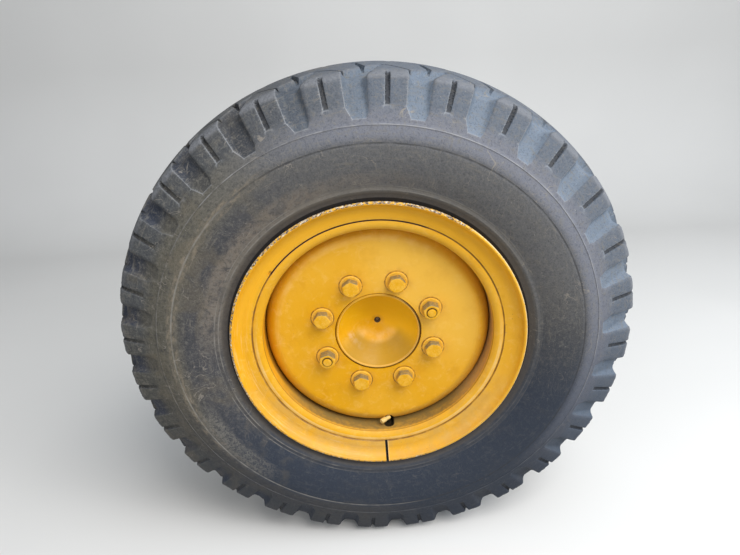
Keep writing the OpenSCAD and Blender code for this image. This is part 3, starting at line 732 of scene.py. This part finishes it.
def wheel_paint():
    k = Look("wheel_paint")
    paint_base(k)
    specks = k.specks(9, 0.05, 0.09, at=k.vector("ADD", k.pos, (3, 7, 1)))
    k.lay(GRIME, specks, k.patches(70, 0.52, 0.62, detail=2), 0.55)
    k.lay(YELLOW_DEEP, k.patches(1, 0.58, 0.75, detail=5, rough=0.6, at=k.ring_space(40, 2.5)), 0.22)

    # Dust low in the recess, the seam of disc and rim, and painted light making the upper right of the disc
    # paler
    low_recess = k.times(k.sector(-85, 40, 50), k.ring(214, 240, 8))
    dusty = k.times(low_recess, k.patches(30, 0.30, 0.70, 0.3, 1, detail=5, rough=0.6))
    k.lay((0.42, 0.27, 0.10), dusty, 0.38)
    k.lay((0.10, 0.055, 0.02), k.ring(236.2, 238.6, 0.5), k.span(k.y, -250, -238), 0.6)
    k.lay((0.97, 0.60, 0.11), k.ring(105, 200, 18), k.sector(38, 38, 38), 0.4)

    # Painted highlight as a pale arc on the disc's shoulder, dust and painted shade on the inner wall from
    # the right to the bottom (paler dust at the right, darker shade over the bottom), painted highlight along
    # the lower half of the gutter edge
    k.lay((0.95, 0.58, 0.16), k.ring(208, 212, 7), k.sector(122, 40, 40), k.patches(20, 0.3, 0.7, 0.1, 0.4))
    wall = k.times(k.ring(235.8, 238.4, 0.5), k.span(k.y, -269, -266), k.sector(-62, 62, 40))
    # Pale dust at the right, dark painted shade over the bottom
    dust = k.mix(k.sector(8, 32, 30), (0.225, 0.155, 0.050), (0.56, 0.34, 0.13))
    k.lay(dust, wall, k.patches(14, 0.30, 0.62, 0.62, 0.92, detail=5, rough=0.62, warp=0.4))
    k.lay((0.25, 0.13, 0.02), k.ring(235.5, 238.6, 0.4), k.band(k.y, -270.2, -268.6, 0.7), 0.6)
    nose = k.times(k.ring(248, 252.5, 2), k.sector(-90, 75, 35))
    k.lay((0.95, 0.66, 0.25), nose, k.patches(22, 0.3, 0.6, 0.25, 0.6))
    joint_line(k)

    # Painted shade: black round the valve's slot, for the dark hole
    past = k.math("MAXIMUM", k.math("SUBTRACT", k.y, -224.0), k.math("SUBTRACT", -245.5, k.y))
    from_slot = k.length(k.off_line(274), k.math("MAXIMUM", past, 0.0))
    k.lay((0.018, 0.014, 0.010), k.span(from_slot, 10.5, 12.5, 1, 0), k.span(k.r, 222, 224), 0.93)

    # Grime and a painted contact shadow in the corner round each washer, with a soft darker tone further out
    # from dust and painted shade
    from_bolt = k.bolt_distance()
    k.lay((0.20, 0.095, 0.02), k.span(from_bolt, 23.2, 26.0, 1, 0), k.patches(8, 0.35, 0.6, 0.35, 0.9))
    k.lay((0.50, 0.27, 0.06), k.span(from_bolt, 24, 38, 1, 0), k.patches(12, 0.4, 0.65, 0, 0.3, detail=5))
    rough = k.math("ADD", k.patches(12, 0.3, 0.7, 0.38, 0.50), k.times(dusty, 0.3))
    return k.finish(rough, coat=0.06, coat_rough=0.2, specular=0.22)


def ring_paint():
    k = Look("ring_paint")
    paint_base(k)
    k.lay(YELLOW_DEEP, k.patches(1, 0.56, 0.74, detail=5, rough=0.6, at=k.ring_space(50, 3)), 0.28)
    k.lay(RUST, k.specks(11, 0.05, 0.09), k.patches(60, 0.48, 0.60, detail=2), 0.6)

    # Painted light: a warmer, brighter channel at the top and pale highlight streaks in its lower left; dust
    # at the bottom
    k.lay((0.98, 0.50, 0.022), k.ring(266, 292, 8), k.sector(100, 50, 40), 0.75)
    highlight_streaks = k.patches(1, 0.52, 0.66, detail=5, rough=0.62, at=k.ring_space(70, 2.2))
    k.lay((0.95, 0.66, 0.26), highlight_streaks, k.sector(218, 30, 30), k.ring(259, 290, 5), 0.5)
    settled = k.times(k.sector(-92, 45, 40), k.patches(32, 0.3, 0.65, 0.15, 0.5, detail=5, rough=0.62))
    k.lay((0.56, 0.36, 0.13), settled, k.ring(258, 292, 4))

    # Lip chipped to cream, grey and dark primer, densest from the upper right over the top to the lower left
    chance = k.math("MAXIMUM", k.sector(130, 70, 14), k.times(k.sector(240, 45, 14), 0.7))
    enough = k.math("SUBTRACT", 0.64, k.times(chance, 0.17))
    chips = k.math("GREATER_THAN", k.noise(1, 5, 0.72, at=k.ring_space(6.5, 3.2)), enough)
    chipped = k.times(chips, k.ring(293.6, 301, 0.5))
    layer = k.noise(1, 3, 0.6, at=k.vector("ADD", k.ring_space(5, 2.4), (40, 0, 9)))
    primer = k.mix(k.span(layer, 0.42, 0.50), (0.075, 0.045, 0.035), (0.36, 0.27, 0.20))
    k.lay(k.mix(k.span(layer, 0.54, 0.60), primer, (0.86, 0.76, 0.60)), chipped)
    crest = k.times(k.ring(296.2, 299.2, 0.6), k.patches(9, 0.36, 0.50, 0.2, 1, rough=0.6))
    k.lay((0.90, 0.74, 0.46), crest, k.without(chance, 0.8), 0.65)

    # Joint to the gutter with a few small stains; painted shade as black in the split, with its pale right
    # edge; painted shade as black at the inner edge, where the ring sits down in the gutter
    joint_line(k)
    k.lay((0.34, 0.15, 0.10), k.ring(254, 260, 3), k.patches(9, 0.56, 0.68, rough=0.65), 0.35)
    side = k.off_line(271.6)
    k.lay((0.93, 0.74, 0.46), k.band(side, 3.1, 4.2, 0.4), 0.35)
    k.lay((0.010, 0.009, 0.008), k.band(side, -2.7, 2.5, 0.4), 0.97)
    k.lay((0.014, 0.011, 0.009), k.span(k.r, 251, 253, 0.96, 0))
    whole = k.without(chipped)
    k.bump(whole, 0.3)
    rough = k.math("ADD", k.patches(12, 0.3, 0.7, 0.38, 0.50), k.times(chipped, 0.25))
    return k.finish(rough, coat=k.times(whole, 0.06), coat_rough=0.2, specular=0.22)


def hub_paint():
    k = Look("hub_paint")
    paint_base(k)

    # The dish: pale arcs as painted highlights, painted light giving its upper half stronger colour, painted
    # shade at its bottom
    k.lay((0.94, 0.66, 0.40), k.ring(58, 63, 6), k.sector(214, 9, 20), k.patches(9, 0.38, 0.6, 0.15, 0.7))
    k.lay((0.93, 0.60, 0.25), k.ring(34, 44, 14), k.sector(270, 50, 35), k.patches(20, 0.35, 0.65, 0.1, 0.45))
    k.lay((0.97, 0.51, 0.005), k.ring(18, 80, 8), k.sector(70, 75, 45), 0.85)
    k.lay((0.42, 0.235, 0.020), k.ring(52, 81, 16), k.sector(-90, 44, 45), 0.8)

    # Its pale edge, the groove round it darkened by dirt and by painted shade strongest from the bottom to
    # the right, and the centre mark with its dark rim
    k.lay((0.93, 0.60, 0.20), k.ring(83.4, 85.2, 0.5), 0.4)
    outside = k.span(k.y, DISC_Y + 5, DISC_Y + 1)
    dirt_and_shade = k.math("MAXIMUM", k.times(k.sector(-40, 80, 50), 0.95), 0.25)
    k.lay((0.11, 0.06, 0.02), k.ring(86.4, 91, 0.9), outside, dirt_and_shade)
    k.lay((0.09, 0.06, 0.035), k.ring(-1, 6.6, 0.8))
    k.lay((0.44, 0.32, 0.20), k.ring(-1, 2.6, 0.5))

    # The shaft end at the back is bare steel
    bare = k.span(k.y, -90, -80)
    k.lay(k.mix(k.patches(10, 0.4, 0.6, detail=5), (0.34, 0.31, 0.28), (0.19, 0.13, 0.09)), bare)
    rough = k.patches(9, 0.3, 0.7, 0.46, 0.56)
    return k.finish(rough, metal=k.times(bare, 0.85), coat=0.06, coat_rough=0.2, specular=0.18)


def bolt_paint():
    k = Look("bolt_paint")
    out = k.bolt_distance()
    washer_top = DISC_Y - WASHER_T
    k.color = YELLOW
    k.lay(YELLOW_PALE, k.patches(10, 0.35, 0.65))
    k.lay((0.93, 0.60, 0.16), k.patches(3.5, 0.50, 0.66, 0, 0.4, detail=5, rough=0.7))

    # Washer: grime and painted shade beside the head, pale along its edge, dark at its foot from grime and a
    # painted contact shadow
    washer = k.span(k.y, washer_top - 1.2, washer_top - 0.3)
    beside_head = k.span(out, 17.5, 20.8, 1, 0)
    grime_and_shade = k.times(beside_head, k.patches(7, 0.28, 0.55, 0.4, 0.9, detail=5, rough=0.65))
    k.lay((0.46, 0.29, 0.07), washer, grime_and_shade, 0.5)
    k.lay((0.93, 0.62, 0.24), washer, k.band(out, 21.2, 22.1, 0.4), 0.12)
    k.lay((0.16, 0.085, 0.03), k.span(k.y, DISC_Y - 1.4, DISC_Y - 0.6), 0.7)

    # Flanks that face up hold dirt, and so does the joint of stud and nut
    flank = k.times(k.without(washer), k.span(out, 14.2, 15.2))
    grime = k.patches(5, 0.28, 0.55, 0.55, 0.95, detail=5, rough=0.65)
    k.lay((0.205, 0.165, 0.085), k.span(k.upward(), 0.15, 0.62), flank, grime)
    k.lay((0.07, 0.035, 0.015), k.band(out, 9.2, 10.6, 0.4), k.span(k.y, DISC_Y - 22, DISC_Y - 23))
    k.lay(GRIME, k.specks(4.2, 0.08, 0.14), 0.4)
    k.bump(k.noise(2.6, 4, 0.6), 0.25)
    return k.finish(k.patches(4, 0.3, 0.7, 0.42, 0.58), coat=0.05, coat_rough=0.3, specular=0.25)


def rubber_tones(k, left, low):
    """Broad tones round the sidewall and the lugs: mostly painted light and shade, lighter and bluer at the
    top and right, darker at the left and darkest at the bottom, with dust at the left and near the rim.
    """
    right, lugs = k.sector(38, 52, 38), k.span(k.r, 446, 476)
    k.color = (0.078, 0.079, 0.083)
    # Painted light at the top, dust and painted shade at the left, dark bluish painted shade at the bottom
    k.lay((0.124, 0.122, 0.124), k.sector(80, 45, 40), 0.75)
    k.lay(k.mix(k.span(k.r, 372, 408), (0.054, 0.054, 0.062), (0.116, 0.105, 0.076)), left, 0.8)
    k.lay((0.022, 0.029, 0.044), low, 0.92)
    k.lay((0.090, 0.081, 0.068), k.span(k.r, 404, 414), k.sector(232, 28, 24), 0.75)
    near_rim = k.times(k.ring(318, 344, 20), k.sector(126, 32, 30))
    warm = k.patches(24, 0.36, 0.60, 0.3, 0.9, detail=5, rough=0.65, warp=0.8)
    k.lay((0.225, 0.190, 0.155), near_rim, warm)
    # Painted sky light: paler and bluer towards the upper right on the sidewall and the lugs; the lugs darker
    # at the left from dust and painted shade, a little lighter at the upper left
    k.lay((0.135, 0.136, 0.142), k.sector(58, 28, 30), 0.6)
    k.lay((0.170, 0.180, 0.220), k.span(k.r, 398, 424), right, 0.85)
    k.lay((0.108, 0.134, 0.172), lugs, right, 0.75)
    k.lay((0.064, 0.065, 0.060), lugs, left, 0.75)
    k.lay((0.068, 0.074, 0.084), lugs, k.sector(138, 22, 28), 0.8)

    # Inside the cuts, painted light and shade: dark, but a painted pale blue-grey sky light at the upper
    # right, and on the left a navy painted shade that turns to dust colour towards the lugs' feet
    dust_and_navy_shade = k.mix(k.span(k.r, 462, 490), (0.088, 0.082, 0.068), (0.022, 0.030, 0.054))
    groove = k.mix(k.sector(32, 46, 42), (0.036, 0.040, 0.050), (0.168, 0.212, 0.275))
    groove = k.mix(k.sector(185, 40, 25), groove, dust_and_navy_shade)
    thin = k.mix(left, k.mix(right, (0.032, 0.033, 0.037), (0.062, 0.072, 0.090)), (0.060, 0.057, 0.050))
    k.lay(k.mix(k.mark("narrow"), groove, thin), k.span(k.mark("cut"), 0.02, 0.35), 0.88)


def rubber_weather(k, left, low, mottle, grain):
    """Mottled dust, fine grain, pale specks, thin curved scuffs and streaks round the tyre and across, then a
    dark bluish painted shade at the bottom.
    """
    # Pale marks are weaker at the bottom, where the painted shade lies
    light = k.without(low, 0.62)
    k.lay((0.180, 0.170, 0.150), light, k.span(mottle, 0.50, 0.66, 0, 0.52))
    k.lay((0.034, 0.036, 0.042), k.span(mottle, 0.51, 0.33, 0, 0.62), k.math("ADD", 0.4, k.times(left, 0.6)))
    dusty = k.patches(75, 0.48, 0.66, detail=5, rough=0.6, warp=0.6)
    k.lay((0.160, 0.134, 0.092), dusty, k.math("ADD", 0.2, k.times(left, 0.8)), 0.42)
    k.lay((0.210, 0.203, 0.190), light, k.span(grain, 0.48, 0.72, 0, 0.42))
    k.lay((0.028, 0.029, 0.032), k.span(grain, 0.50, 0.30, 0, 0.50))
    patch = k.patches(6, 0.42, 0.58, 0.1, 0.85, detail=6, rough=0.72, warp=1.0)
    k.lay((0.205, 0.192, 0.168), k.ring(374, 400, 12), k.sector(215, 9, 11), patch)
    tan = k.patches(1, 0.47, 0.62, 0.1, 0.8, detail=6, rough=0.72, at=k.ring_space(15, 7))
    k.lay((0.24, 0.200, 0.150), k.ring(398, 412, 6), k.sector(170, 40, 20), tan)
    k.lay((0.34, 0.32, 0.29), k.specks(13, 0.05, 0.10), k.patches(50, 0.48, 0.58, detail=2), light, 0.55)
    bend = k.math("ABSOLUTE", k.math("SUBTRACT", k.noise(62, 3, 0.5, warp=1.2), 0.5))
    scuff = k.times(k.span(bend, 0.0015, 0.007, 1, 0), k.patches(48, 0.48, 0.60, detail=3))
    k.lay((0.28, 0.25, 0.215), scuff, light, 0.7)
    streak = k.patches(1, 0.54, 0.72, detail=6, rough=0.7, at=k.ring_space(26, 5))
    k.lay((0.20, 0.182, 0.155), streak, light, 0.6)
    stroke = k.patches(1, 0.58, 0.74, detail=6, rough=0.7, at=k.ring_space(5, 24))
    k.lay((0.19, 0.175, 0.150), stroke, light, 0.5)
    # Painted shade: the bottom darker and bluish
    k.lay((0.026, 0.038, 0.064), low, 0.42)


def rubber_lines(k, left, worn):
    """Fine lines and edges that stay clear under the weathering."""
    # Painted shade keeps the thin cuts dark inside. Beside the rim is a dark band with a black painted shade
    # for the gap, then a dusty rib with pale lines
    inside = k.times(k.mark("narrow"), k.span(k.mark("cut"), 0.1, 0.5))
    k.lay((0.034, 0.036, 0.042), inside, k.math("SUBTRACT", 0.6, k.times(left, 0.45)))
    k.lay((0.088, 0.076, 0.066), k.ring(290, 312, 4), 0.65)
    k.lay((0.010, 0.010, 0.012), k.ring(290, 302, 2), 0.9)
    crest = k.math("MAXIMUM", k.sector(100, 45, 40), 0.25)
    k.lay((0.155, 0.138, 0.115), k.ring(314, 325, 3.5), k.patches(18, 0.25, 0.6, 0.35, 0.85), crest, 0.7)
    pale = k.math("MAXIMUM", k.ring(318.6, 320, 0.8), k.ring(326.6, 327.4, 0.7))
    seen = k.math("MAXIMUM", crest, k.sector(195, 45, 25))
    k.lay((0.27, 0.25, 0.225), pale, k.patches(40, 0.40, 0.60, 0.1, 0.6), seen)

    # Thin ring under the lugs as a painted highlight, strongest at the top and right; mould line; pale rims
    # of the cuts, worn edges with a painted highlight strongest at the top and upper right; worn corners,
    # paler and bluer towards the upper right from wear and painted light
    under_lugs = k.times(k.ring(434.9, 436.3, 0.6), k.patches(30, 0.35, 0.62, 0.08, 0.6))
    k.lay((0.34, 0.335, 0.34), under_lugs, k.math("MAXIMUM", k.sector(60, 60, 40), 0.4))
    mould = k.mix(k.sector(204, 62, 22), (0.03, 0.03, 0.032), (0.30, 0.285, 0.26))
    k.lay(mould, k.ring(404.4, 406.6, 0.8), k.patches(24, 0.3, 0.6, 0.2, 0.6))
    rim = k.times(k.mark("rim"), k.math("MAXIMUM", k.times(k.sector(75, 50, 32), 0.8), 0.08))
    k.lay((0.34, 0.35, 0.37), rim, k.patches(9, 0.3, 0.6, 0.35, 0.75))
    wear_and_sheen = k.times(worn, k.patches(4.5, 0.30, 0.60, 0.25, 0.85, detail=5, rough=0.7))
    k.lay((0.205, 0.212, 0.232), wear_and_sheen, k.math("MAXIMUM", k.sector(70, 60, 40), 0.35))


def tyre_rubber():
    k = Look("tyre_rubber")
    left, low, worn = k.sector(190, 45, 40), k.sector(-78, 48, 42), k.mark("worn")
    mottle, grain = k.noise(9, 6, 0.72, warp=0.4), k.noise(3.2, 4, 0.75)
    rubber_tones(k, left, low)
    rubber_weather(k, left, low, mottle, grain)
    rubber_lines(k, left, worn)
    k.bump(grain, 0.5)
    k.bump(mottle, 0.9)
    k.bump(k.times(worn, k.noise(4, 5, 0.7)), 2.2)
    return k.finish(k.span(grain, 0.3, 0.7, 0.66, 0.84), specular=0.3)


def dull_paint(name, base, weight):
    """Paint on the hidden side, with dust by that weight and bare edges."""
    k = Look(name)
    k.color = base
    k.lay(tuple(v * 0.78 for v in base), k.patches(70, 0.35, 0.65))
    k.lay(DUST, k.patches(28, 0.42, 0.62, detail=6, rough=0.62), weight)
    k.lay(BARE, k.edges(), 0.6)
    k.bump(k.noise(3, 4, 0.6), 0.3)
    k.bump(k.noise(30, 3), 0.6)
    return k.finish(k.patches(14, 0.3, 0.7, 0.45, 0.65), coat=0.1, coat_rough=0.3)


def drum_iron():
    """Cast iron, rusted in patches."""
    k = Look("drum_iron")
    k.color = (0.10, 0.085, 0.075)
    k.lay((0.24, 0.10, 0.05), k.patches(24, 0.42, 0.60, 0, 0.8, detail=6, rough=0.65))
    k.lay((0.34, 0.30, 0.27), k.edges(), 0.5)
    k.bump(k.noise(2.4, 5, 0.65), 0.3)
    return k.finish(k.patches(10, 0.3, 0.7, 0.5, 0.8, detail=5), metal=0.35)


def bright_metal(name, base, dark, rough):
    """Turned metal with darker patches and paler edges."""
    k = Look(name)
    k.color = base
    k.lay(dark, k.patches(8, 0.40, 0.64, detail=5, rough=0.65))
    k.lay(tuple(min(1, v * 1.15) for v in base), k.edges(), 0.2)
    turned = k.vector("MULTIPLY", k.pos, (0.2, 1.5, 0.2))
    k.bump(k.noise(1, 3, 0.6, at=turned), 0.05)
    return k.finish(k.patches(6, 0.3, 0.7, rough, rough + 0.18), metal=1.0)


def seal_rubber():
    k = Look("seal_rubber")
    k.color = (0.028, 0.028, 0.030)
    k.lay((0.060, 0.056, 0.052), k.patches(9, 0.35, 0.65))
    k.bump(k.noise(2), 0.1)
    return k.finish(k.patches(5, 0.3, 0.7, 0.5, 0.7))


def valve_paint():
    """Dusty yellow on the cap, and black on the stem beyond radius 235, as painted shade for the dark slot it
    passes through.
    """
    k = Look("valve_paint")
    k.color = (0.72, 0.47, 0.12)
    k.lay((0.74, 0.56, 0.25), k.patches(5, 0.35, 0.65))
    # Painted shade: the stem is black where it passes into the rim's slot
    k.lay((0.016, 0.013, 0.010), k.span(k.r, 232, 235), 0.95)
    k.bump(k.noise(1.6), 0.1)
    return k.finish(k.patches(3, 0.3, 0.7, 0.42, 0.55), coat=0.05, specular=0.3)


def dress():
    """Gives each CAD node and each shown piece the material of its slot."""
    looks = {
        "tyre": tyre_rubber(),
        "wheel_paint": wheel_paint(),
        "ring_paint": ring_paint(),
        "hub_paint": hub_paint(),
        "bolt_paint": bolt_paint(),
        "valve_paint": valve_paint(),
        "housing_paint": dull_paint("housing_paint", YELLOW_DULL, 0.7),
        "plate_paint": dull_paint("plate_paint", (0.64, 0.33, 0.035), 0.8),
        "drum_iron": drum_iron(),
        "bearing_steel": bright_metal("bearing_steel", (0.62, 0.62, 0.63), (0.40, 0.38, 0.35), 0.36),
        "fastener_steel": bright_metal("fastener_steel", (0.42, 0.39, 0.35), (0.26, 0.17, 0.11), 0.4),
        "fitting_brass": bright_metal("fitting_brass", (0.66, 0.48, 0.20), (0.40, 0.28, 0.12), 0.3),
        "seal_rubber": seal_rubber(),
    }
    slots = {s["node"]: s["material_slot"] for s in frame["record"]["subparts"]}
    for name, obj in nodes.items():
        obj.data.materials.clear()
        obj.data.materials.append(looks[slots[name]])
    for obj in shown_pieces():
        if obj.get("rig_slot") and not obj.data.materials:
            obj.data.materials.append(looks[obj["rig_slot"]])


# Stage, camera and light

def stage_material(name, seen, thrown_back):
    """seen is the color for the camera, thrown_back what the floor throws back on the wheel."""
    k = Look(name)
    shade = k.mix(k.patches(900, 0.35, 0.65, detail=2), seen, tuple(v * 0.97 for v in seen))
    ray = k.node("ShaderNodeLightPath").outputs
    bent = k.math("ADD", ray["Is Glossy Ray"], ray["Is Transmission Ray"])
    direct = k.math("ADD", ray["Is Camera Ray"], bent)
    k.color = thrown_back
    k.lay(shade, k.math("MINIMUM", direct, 1.0))
    return k.finish(0.9, specular=0.1)


def make_stage():
    """A floor that turns up into a wall behind the wheel. Metres."""
    back, bend, half_width, wall_top = 2.6, 0.9, 16.0, 7.0
    rows = [(-half_width, FLOOR_Z), (back - bend, FLOOR_Z)]
    rows += [(back - bend + bend * math.sin(a), FLOOR_Z + bend - bend * math.cos(a))
             for a in np.linspace(0.1, math.pi / 2, 12)]
    rows.append((back, wall_top))
    xs = (-half_width, 0.0, half_width)
    verts = [(x, y, z) for y, z in rows for x in xs]
    mesh = bpy.data.meshes.new("floor")
    mesh.from_pydata(verts, [], grid_faces(len(rows), len(xs), closed=False, flip=True))
    mesh.polygons.foreach_set("use_smooth", [True] * len(mesh.polygons))
    floor = add_object("floor", mesh)
    mesh.materials.append(stage_material("floor_grey", (0.80, 0.79, 0.775), (0.32, 0.31, 0.29)))


def area_lamp(name, place, aim, size, power, color):
    """A lamp at a place in metres, turned to what it aims at."""
    data = bpy.data.lights.new(name, "AREA")
    data.shape = "RECTANGLE"
    data.size, data.size_y = size
    data.energy = power
    data.color = color
    obj = add_object(name, data)
    obj.location = place
    obj.rotation_mode = "QUATERNION"
    obj.rotation_quaternion = (Vector(aim) - Vector(place)).to_track_quat("-Z", "Y")


def make_light():
    """A soft sky, and lamps for a high bright sky at the right with a weaker one at the left."""
    world = bpy.data.worlds.new("sky")
    bpy.context.scene.world = world
    world.use_nodes = True
    background = world.node_tree.nodes["Background"].inputs
    background["Color"].default_value = (0.88, 0.94, 1.0, 1)
    background["Strength"].default_value = 0.38
    sky_blue = (0.84, 0.92, 1.0)
    area_lamp("key", (1.4, -2.0, 2.8), (0, -0.2, 0.05), (2.4, 2.0), 112, (1.0, 0.97, 0.93))
    area_lamp("sky", (0.8, -0.9, 3.2), (0, -0.2, 0.2), (2.6, 2.2), 34, sky_blue)
    area_lamp("side", (2.8, -0.9, 0.9), (0.3, -0.2, 0), (2.0, 2.0), 42, sky_blue)
    area_lamp("fill", (-2.2, -2.6, 1.0), (0, -0.2, 0), (2.0, 2.0), 22, (0.97, 0.98, 1.0))


def make_camera():
    """Stands in front of the wheel, a little above the tyre, and looks down at it."""
    yaw, pitch, roll = (math.radians(angle) for angle in CAMERA_TURN)
    forward = Vector((math.sin(yaw) * math.cos(pitch), math.cos(yaw) * math.cos(pitch), -math.sin(pitch)))
    right = Vector((math.cos(yaw), -math.sin(yaw), 0))
    down = forward.cross(right)
    across = right * math.cos(roll) + down * math.sin(roll)
    below = -right * math.sin(roll) + down * math.cos(roll)
    data = bpy.data.cameras.new("camera")
    data.lens = LENS
    data.sensor_width = 36.0
    data.clip_start, data.clip_end = 0.05, 60
    obj = add_object("camera", data)
    turn = Matrix((across, -below, -forward)).transposed()
    obj.matrix_world = Matrix.Translation(CAMERA_AT) @ turn.to_4x4()
    bpy.context.scene.camera = obj
    bpy.context.scene.view_settings.view_transform = "Standard"


make_tyre()
make_fastenings()
dress()
make_stage()
make_light()
make_camera()
